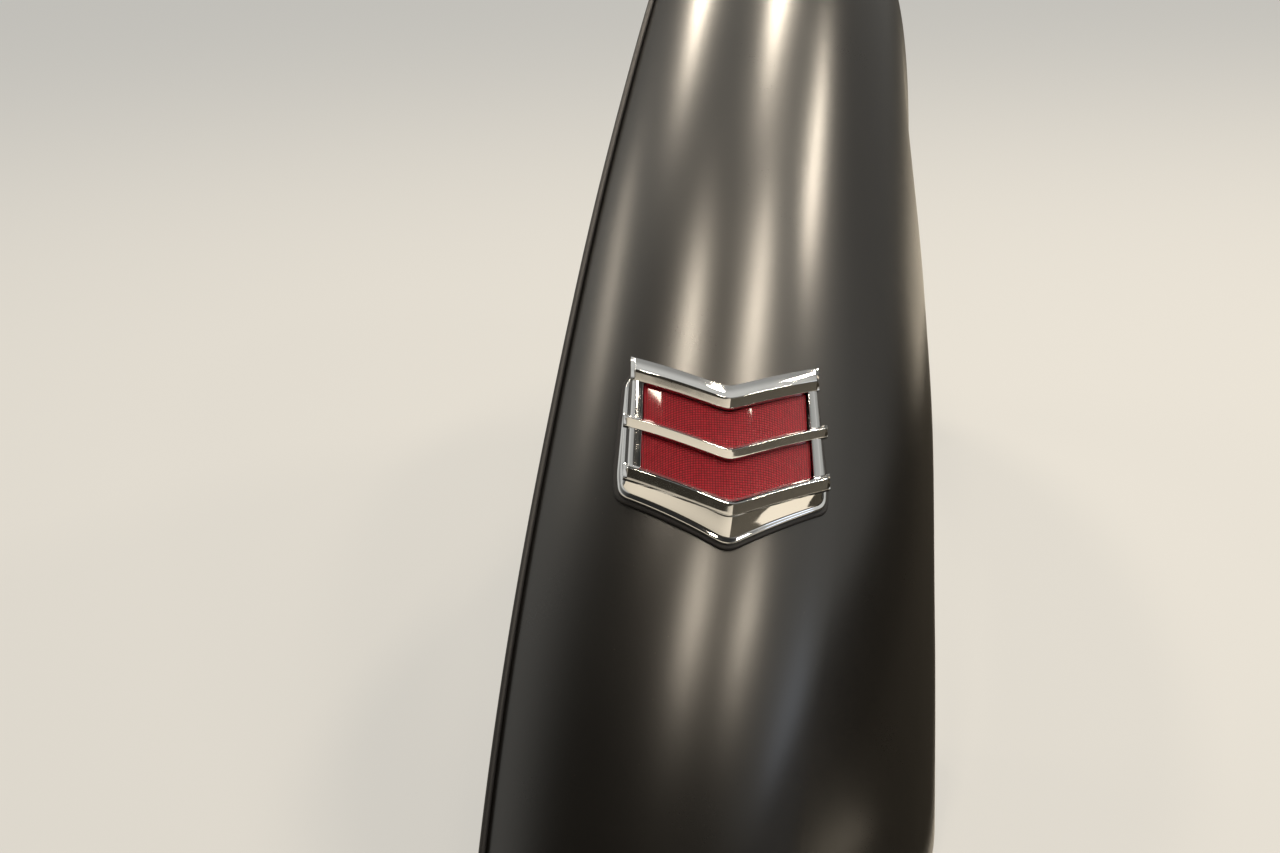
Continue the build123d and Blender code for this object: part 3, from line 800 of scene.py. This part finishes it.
class FENDER_OT_welt(bpy.types.Operator):
    """Build the bead in the seam against the body."""

    bl_idname = "fender.welt"
    bl_label = "Seam welt"

    def execute(self, context):
        radius = context.scene.fender_sizes.welt / MM
        angle = np.linspace(*WELT_ENDS, WELT_ROWS)
        out, up = crown_centre(angle)
        reach = crown_arc(angle) + radius
        spine = to_row(radius, up + np.sqrt(reach**2 - (radius - out) ** 2), angle)
        spine = spine[spine[:, 2] >= TRIM_HEIGHT + radius]
        tangent = unit(np.gradient(spine, axis=0))
        side = np.array((1.0, 0.0, 0.0)) + 0 * spine
        lift = unit(np.cross(tangent, side))
        turn = np.linspace(0, 2 * np.pi, WELT_SIDES + 1)[:-1]
        ring = np.cos(turn)[:, None] * side[:, None] + np.sin(turn)[:, None] * lift[:, None]
        points = spine[:, None] + radius * ring
        rows, columns = points.shape[:2]
        faces = grid_faces(rows, columns, close_columns=True).tolist()
        faces.append(list(range(columns)))
        faces.append(list(range(rows * columns - 1, (rows - 1) * columns - 1, -1)))
        material = moulded_rubber("welt_vinyl", context.scene.finish_colours.rubber)
        add_piece("seam_welt", points, faces, material, ["fender_welt"])
        return {"FINISHED"}


def lifted(flat):
    """Row points from (side, up, weight, height): weight 0 follows the skin and weight
    1 the bowed face, and between them the two heights are mixed."""
    side, up, weight, height = np.moveaxis(flat, -1, 0)
    out = (1 - weight) * (skin_height(side, up) + height) + weight * drum_height(side, height)
    return from_lamp(side, up, out)


def ring_piece(name, rows, cuts, curve, material, nodes):
    """Ring of the lamp: a closed profile carried round closed outlines.

    rows holds, for each corner of the profile, its outline, weight and height.
    """
    corners = []
    for outline, weight, height in rows:
        ring = closed_outline(outline)
        extra = np.broadcast_to((weight, height), (len(ring), 2))
        corners.append(np.concatenate([ring, extra], axis=1))
    control = np.stack(corners, axis=1)
    around = fillet(control, all_corners(OUTLINE_CUTS), 9, 14)
    profile = fillet(around.swapaxes(0, 1), cuts, curve, 2)
    points = lifted(profile)
    faces = grid_faces(points.shape[0], points.shape[1], True, True)
    return add_piece(name, points, faces, material, nodes, sharp=50.0)


def grown(half, margin):
    """Right half of an outline moved outward by about a margin, corner by corner:
    each corner moves along the mean of its two edges' normals, by margin / cos."""
    ring = closed_outline(half)
    edge = unit(np.roll(ring, -1, axis=0) - ring)
    normal = np.stack([-edge[:, 1], edge[:, 0]], axis=1)
    mean = unit(normal + np.roll(normal, 1, axis=0))
    stretch = np.einsum("ij,ij->i", mean, normal)[:, None]
    moved = ring + margin * mean / stretch
    return [tuple(corner) for corner in moved[: len(half)]]


def mixed(first, second, share):
    """Outline between two others."""
    return [tuple(np.array(a) + share * (np.array(b) - a)) for a, b in zip(first, second)]


class FENDER_OT_pad(bpy.types.Operator):
    """Build the rubber pad between lamp and fender."""

    bl_idname = "fender.pad"
    bl_label = "Lamp pad"

    def execute(self, context):
        sizes = context.scene.lamp_sizes
        thick, margin = sizes.pad / MM, sizes.pad_margin / MM
        wide, narrow = grown(RIM_OUTLINE, margin), grown(WINDOW_OUTLINE, -2.0)
        low, cuts = 0.05, [0.2, 1.2, 0.2, 0.2]
        rows = [(wide, 0.0, low), (wide, 0.0, thick), (narrow, 0.0, thick), (narrow, 0.0, low)]
        material = moulded_rubber("pad_rubber", context.scene.finish_colours.rubber)
        ring_piece("lamp_gasket", rows, cuts, 4, material, ["lamp_pad"])
        return {"FINISHED"}


class FENDER_OT_bezel(bpy.types.Operator):
    """Build the chromed bezel: rim, wall, rails and the three ridged bars."""

    bl_idname = "fender.bezel"
    bl_label = "Lamp bezel"

    def execute(self, context):
        sizes = context.scene.lamp_sizes
        foot, rim, face = sizes.pad / MM, sizes.rim / MM, sizes.face / MM
        lens, ridge = sizes.lens / MM, sizes.ridge / MM
        material = chrome_plate("chrome_plate", context.scene.finish_colours.chrome)
        crease = mixed(FACE_OUTLINE, WINDOW_OUTLINE, 0.38)
        inner = grown(WALL_OUTLINE, -3.0)
        rows = [
            (RIM_OUTLINE, 0.0, foot + 0.1),
            (RIM_OUTLINE, 0.0, rim),
            (WALL_OUTLINE, 0.0, rim + 0.3),
            (FACE_OUTLINE, 1.0, face - 1.3),
            (crease, 1.0, face),
            (WINDOW_OUTLINE, 1.0, face - 0.4),
            (WINDOW_OUTLINE, 1.0, lens - 2.4),
            (inner, 0.0, foot + 0.1),
        ]
        cuts = [0.3, 1.3, 1.0, 0.8, 0.3, 0.3, 0.2, 0.2]
        ring_piece("bezel_frame", rows, cuts, 5, material, ["lamp_bezel"])
        for name, bar in zip(("bar_top", "bar_middle", "bar_bottom"), BARS):
            self.add_bar(name, bar, face, ridge, material)
        return {"FINISHED"}

    def add_bar(self, name, bar, face, ridge, material):
        """Bar: a wedge profile carried along a chevron, its ends cut slanting.

        The chevron's corner is rounded as the curve middle + slope sqrt(side^2 + bend^2),
        and places lie at share t as (0.35 t + 0.65 t^3), so that they crowd at the corner.
        """
        middle, end, reach, above, below = bar
        slope = (end - middle) / reach
        t = np.linspace(-1, 1, BAR_PLACES)
        edge = reach + BAR_TIP * np.array(TIP_PLACES)
        run = (reach - 0.6) * (0.35 * t + 0.65 * t**3)
        side = np.concatenate([-edge[::-1], run, edge])
        past = (np.abs(side) - reach) / BAR_TIP
        sunk = np.clip((past + np.hypot(past, 0.06)) / 2, 0, 1)
        peak = ridge + (BAR_TIP_RISE - ridge) * sunk
        profile = np.array([
            (-below, -BAR_ROOT, 0.0), (-below, BAR_STEP, 0.0), (0.0, BAR_STEP, 1.0),
            (0.5 * above, BAR_STEP, 0.62), (above, BAR_STEP, 0.0), (above, -BAR_ROOT, 0.0),
        ])
        up = middle + slope * np.hypot(side, BAR_BEND)
        up = up + math.hypot(1, slope) * profile[:, :1]
        level = face + profile[:, 1:2] + profile[:, 2:] * (peak - BAR_STEP)
        control = np.stack([side + 0 * up, up, 1 + 0 * up, level], axis=-1)
        points = lifted(open_fillet(control, [0, 0.25, 0.4, 2.4, 0.4, 0], 7, 3))
        rows, columns = points.shape[:2]
        faces = grid_faces(rows, columns, close_rows=True).tolist()
        faces.append([i * columns for i in range(rows)])
        faces.append([i * columns + columns - 1 for i in range(rows)][::-1])
        add_piece(name, points, faces, material, ["lamp_bezel"], sharp=50.0)


class FENDER_OT_lens(bpy.types.Operator):
    """Build the red lens with a raised pane in each window."""

    bl_idname = "fender.lens"
    bl_label = "Lens"

    def execute(self, context):
        sizes = context.scene.lamp_sizes
        material = red_acrylic("red_acrylic", context.scene.finish_colours.lens)
        top, pitch = sizes.lens / MM, sizes.prism / MM
        for name, pane in zip(("lens_upper", "lens_lower"), PANES):
            self.add_pane(name, pane, top, pitch, material)
        return {"FINISHED"}

    def add_pane(self, name, pane, top, pitch, material):
        """Pane: a grid over the window, whose two rim rows drop to make bevel and wall.

        The rows of prisms bend down beyond PRISM_LEVEL from the middle, by PRISM_BEND
        times the square of the distance beyond it.
        """
        middle_top, middle_bottom, side_top, side_bottom, reach = pane
        half = reach - PANE_GAP
        drop = np.array([PANE_DEPTH, PANE_BEVEL])
        u = np.linspace(-half + PANE_BEVEL, half - PANE_BEVEL, PANE_GRID[0])
        v = np.linspace(0, 1, PANE_GRID[1])
        u_drop, v_drop = (np.concatenate([drop, 0 * w, drop[::-1]]) for w in (u, v))
        u = np.concatenate([[-half, -half], u, [half, half]])
        slant = rounded(u, PANE_BEND) / reach
        upper = middle_top - PANE_GAP + (side_top - middle_top) * slant
        lower = middle_bottom + PANE_GAP + (side_bottom - middle_bottom) * slant
        share = np.concatenate([[0.0, 0.0], v, [1.0, 1.0]])
        shift = np.concatenate([[0.0, 0.0], PANE_BEVEL * (1 - 2 * v), [0.0, 0.0]])
        side = u[:, None] + 0 * share
        up = lower[:, None] + share * (upper - lower)[:, None] + shift
        height = top - np.maximum(u_drop[:, None], v_drop[None, :])
        flat = np.stack([side, up, 1 + 0 * side, height], axis=-1)
        points = lifted(flat)
        rows, columns = points.shape[:2]
        faces = grid_faces(rows, columns).tolist()
        edge = list(range(columns))
        edge += [i * columns + columns - 1 for i in range(1, rows)]
        edge += [(rows - 1) * columns + j for j in range(columns - 2, -1, -1)]
        edge += [i * columns for i in range(rows - 2, 0, -1)]
        faces.append(edge)
        beyond = np.maximum(np.abs(side) - PRISM_LEVEL, 0.0)
        uv = np.stack([side, up + PRISM_BEND * beyond**2], axis=-1) / pitch
        add_piece(name, points, faces, material, ["lamp_lens"], 40.0, uv)


def rounded(side, width):
    """|side| with its corner rounded: sqrt(side^2 + width^2) - width."""
    return np.sqrt(side**2 + width**2) - width


class FENDER_OT_fittings(bpy.types.Operator):
    """Dress the lamp's body, bulb and fastenings."""

    bl_idname = "fender.fittings"
    bl_label = "Lamp fittings"

    def execute(self, context):
        colours = context.scene.finish_colours
        zinc = sheet_metal("zinc_plated_steel", colours.zinc, 0.38)
        dress(zinc, "lamp_bucket", "bulb_socket", "stud_upper", "stud_lower")
        dress(zinc, "washer_upper", "washer_lower", "nut_upper", "nut_lower")
        dress(sheet_metal("brass", colours.brass, 0.3), "bulb_base")
        dress(sheet_metal("vapour_aluminium", colours.chrome, 0.15), "lamp_reflector")
        dress(moulded_rubber("seal_rubber", colours.rubber), "lens_seal")
        dress(clear_glass("bulb_glass"), "bulb_glass")
        return {"FINISHED"}


def add_panel(name, place, size, power, colour, turn=(0.0, 0.0, 0.0)):
    """Soft lamp panel, facing down unless it is turned, that no camera sees."""
    data = bpy.data.lights.new(name, "AREA")
    data.shape = "RECTANGLE"
    data.size, data.size_y = size
    data.energy = power
    data.color = linear(colour)
    lamp = bpy.data.objects.new(name, data)
    lamp.matrix_world = Matrix.Translation(place) @ Euler(turn).to_matrix().to_4x4()
    lamp.visible_camera = False
    bpy.context.scene.collection.objects.link(lamp)


def add_sheet(name, corners, material):
    """Flat stage sheet with four corners in metres."""
    mesh = bpy.data.meshes.new(name)
    mesh.from_pydata(corners, [], [(0, 1, 2, 3)])
    mesh.materials.append(material)
    sheet = bpy.data.objects.new(name, mesh)
    bpy.context.scene.collection.objects.link(sheet)
    sheet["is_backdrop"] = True
    return sheet


def add_card(name, start, stop, height, lean, colour):
    """Dark card that stands on the floor between two places and leans out to its right.
    It is painted shade for reflections alone: no camera sees it and it casts no shadow."""
    low = float(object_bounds()[0][2])
    foot, head = [(*start, low), (*stop, low)], low + height
    corners = foot + [(x + lean, y, head) for x, y in (stop, start)]
    material, tree = new_material(name)
    felt = add_node(tree, "ShaderNodeBsdfDiffuse", {"Color": (*linear(colour), 1)})
    finish(tree, felt.outputs[0])
    card = add_sheet(name, corners, material)
    card.visible_camera = False
    card.visible_shadow = False
    card.visible_diffuse = False


def seen_ray(tree, *kinds):
    """1 for rays of the named kinds, such as Is Camera Ray, and 0 for others."""
    path = add_node(tree, "ShaderNodeLightPath")
    result = path.outputs[kinds[0]]
    for kind in kinds[1:]:
        result = reckoned(tree, "MAXIMUM", result, path.outputs[kind])
    return result


def either(tree, share, first, second):
    """First shader where share is 0 and second where it is 1."""
    return add_node(tree, "ShaderNodeMixShader", {0: share, 1: first, 2: second}).outputs[0]


def background(tree, colour, strength):
    """World light of one colour."""
    inputs = {"Color": (*linear(colour), 1), "Strength": strength}
    return add_node(tree, "ShaderNodeBackground", inputs).outputs[0]


class FENDER_OT_stage(bpy.types.Operator):
    """Set the floor, the lights and the photograph's camera."""

    bl_idname = "fender.stage"
    bl_label = "Stage"

    def execute(self, context):
        scene = context.scene
        scene.view_settings.view_transform = "Standard"
        self.add_floor(scene)
        self.add_world(scene)
        self.add_lights()
        self.add_camera(scene)
        return {"FINISHED"}

    def add_floor(self, scene):
        """Pale floor: matt, with most of what the camera sees of it a plain glow."""
        low = float(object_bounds()[0][2])
        around = [(-1, -1), (1, -1), (1, 1), (-1, 1)]
        corners = [(x * FLOOR_REACH, y * FLOOR_REACH, low) for x, y in around]
        material, tree = new_material("pale_floor")
        colour = {"Color": (*scene.finish_colours.floor, 1)}
        matt = add_node(tree, "ShaderNodeBsdfDiffuse", colour).outputs[0]
        glow = add_node(tree, "ShaderNodeEmission", colour).outputs[0]
        seen = seen_ray(tree, "Is Camera Ray", "Is Transmission Ray")
        finish(tree, either(tree, reckoned(tree, "MULTIPLY", seen, FLOOR_GLOW), matt, glow))
        add_sheet("floor", corners, material)

    def add_world(self, scene):
        """Dim world for matt surfaces, a pale backdrop for the camera, and a room for
        what shines, which darkens smoothly towards DARK_SIDE and towards the front."""
        world = bpy.data.worlds.new("soft_room")
        world.use_nodes = True
        tree = world.node_tree
        tree.nodes.clear()
        ahead = object_place(tree)
        toward = add_node(
            tree, "ShaderNodeVectorMath", {0: ahead, 1: DARK_SIDE}, operation="DOT_PRODUCT"
        )
        forward = add_node(tree, "ShaderNodeSeparateXYZ", {0: ahead}).outputs[1]
        rear = mapped(tree, toward.outputs["Value"], (0.35, 0.85), (0.75, 0.03), smooth=True)
        front = mapped(tree, forward, (0.25, 0.85), (1.0, 0.3), smooth=True)
        room = background(tree, "#f3f0e8", reckoned(tree, "MULTIPLY", rear, front))
        mirrored = seen_ray(tree, "Is Glossy Ray", "Is Transmission Ray")
        inner = either(tree, mirrored, background(tree, "#d9d5cb", 0.16), room)
        pale = background(tree, "#bfbeb8", 1.0)
        outer = either(tree, seen_ray(tree, "Is Camera Ray"), inner, pale)
        add_node(tree, "ShaderNodeOutputWorld", {"Surface": outer})
        scene.world = world

    def add_lights(self):
        """Warm strips under the ceiling, blue daylight from the right and dark cards."""
        for name, x, y, span, power in CEILING_LAMPS:
            add_panel(name, (x, y, CEILING), (LAMP_WIDTH, span), power, "#fff0da")
        upright = (0.0, math.radians(90.0), 0.0)
        add_panel("window", DAYLIGHT_PLACE, DAYLIGHT_SIZE, DAYLIGHT_POWER, "#ccd9ee", upright)
        for card in CARDS:
            add_card(*card)

    def add_camera(self, scene):
        """Camera that looks along the yaw and pitch and is rolled about that line."""
        yaw, pitch, roll = (math.radians(v) for v in (CAMERA_YAW, CAMERA_PITCH, CAMERA_ROLL))
        flat = math.cos(pitch)
        ahead = np.array((-math.sin(yaw) * flat, math.cos(yaw) * flat, -math.sin(pitch)))
        level = np.array((math.cos(yaw), math.sin(yaw), 0.0))
        upright = np.cross(level, ahead)
        right = math.cos(roll) * level + math.sin(roll) * upright
        up = np.cross(right, ahead)
        data = bpy.data.cameras.new("camera")
        data.sensor_fit = "HORIZONTAL"
        data.lens = CAMERA_FOCUS * data.sensor_width
        camera = bpy.data.objects.new("camera", data)
        turn = Matrix(np.stack([right, up, -ahead], axis=1)).to_4x4()
        place = (np.array(CAMERA_FROM_HUB) + (0.0, HUB_Y, 0.0)) * MM
        camera.matrix_world = Matrix.Translation(place) @ turn
        scene.collection.objects.link(camera)
        scene.camera = camera


class FENDER_PT_sidebar(bpy.types.Panel):
    """Lists the sizes, the finishes and the steps."""

    bl_label = "Fender"
    bl_idname = "FENDER_PT_sidebar"
    bl_space_type = "VIEW_3D"
    bl_region_type = "UI"
    bl_category = "Fender"

    def draw(self, context):
        for group in GROUPS:
            values = getattr(context.scene, group)
            for name in values.__annotations__:
                self.layout.prop(values, name)
        for step in STEPS:
            self.layout.operator(step.bl_idname)


GROUPS = {
    "fender_sizes": FenderSizes, "lamp_sizes": LampSizes, "finish_colours": FinishColours,
}
STEPS = [
    FENDER_OT_shell, FENDER_OT_welt, FENDER_OT_pad, FENDER_OT_bezel,
    FENDER_OT_lens, FENDER_OT_fittings, FENDER_OT_stage,
]


def register():
    for kind in (*GROUPS.values(), *STEPS, FENDER_PT_sidebar):
        bpy.utils.register_class(kind)
    for name, kind in GROUPS.items():
        setattr(bpy.types.Scene, name, PointerProperty(type=kind))


def unregister():
    for name in GROUPS:
        delattr(bpy.types.Scene, name)
    for kind in (FENDER_PT_sidebar, *reversed(STEPS), *GROUPS.values()):
        bpy.utils.unregister_class(kind)


def main():
    """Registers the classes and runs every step."""
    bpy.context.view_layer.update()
    register()
    for step in STEPS:
        group, name = step.bl_idname.split(".")
        getattr(getattr(bpy.ops, group), name)()


if __name__ == "__main__":
    main()
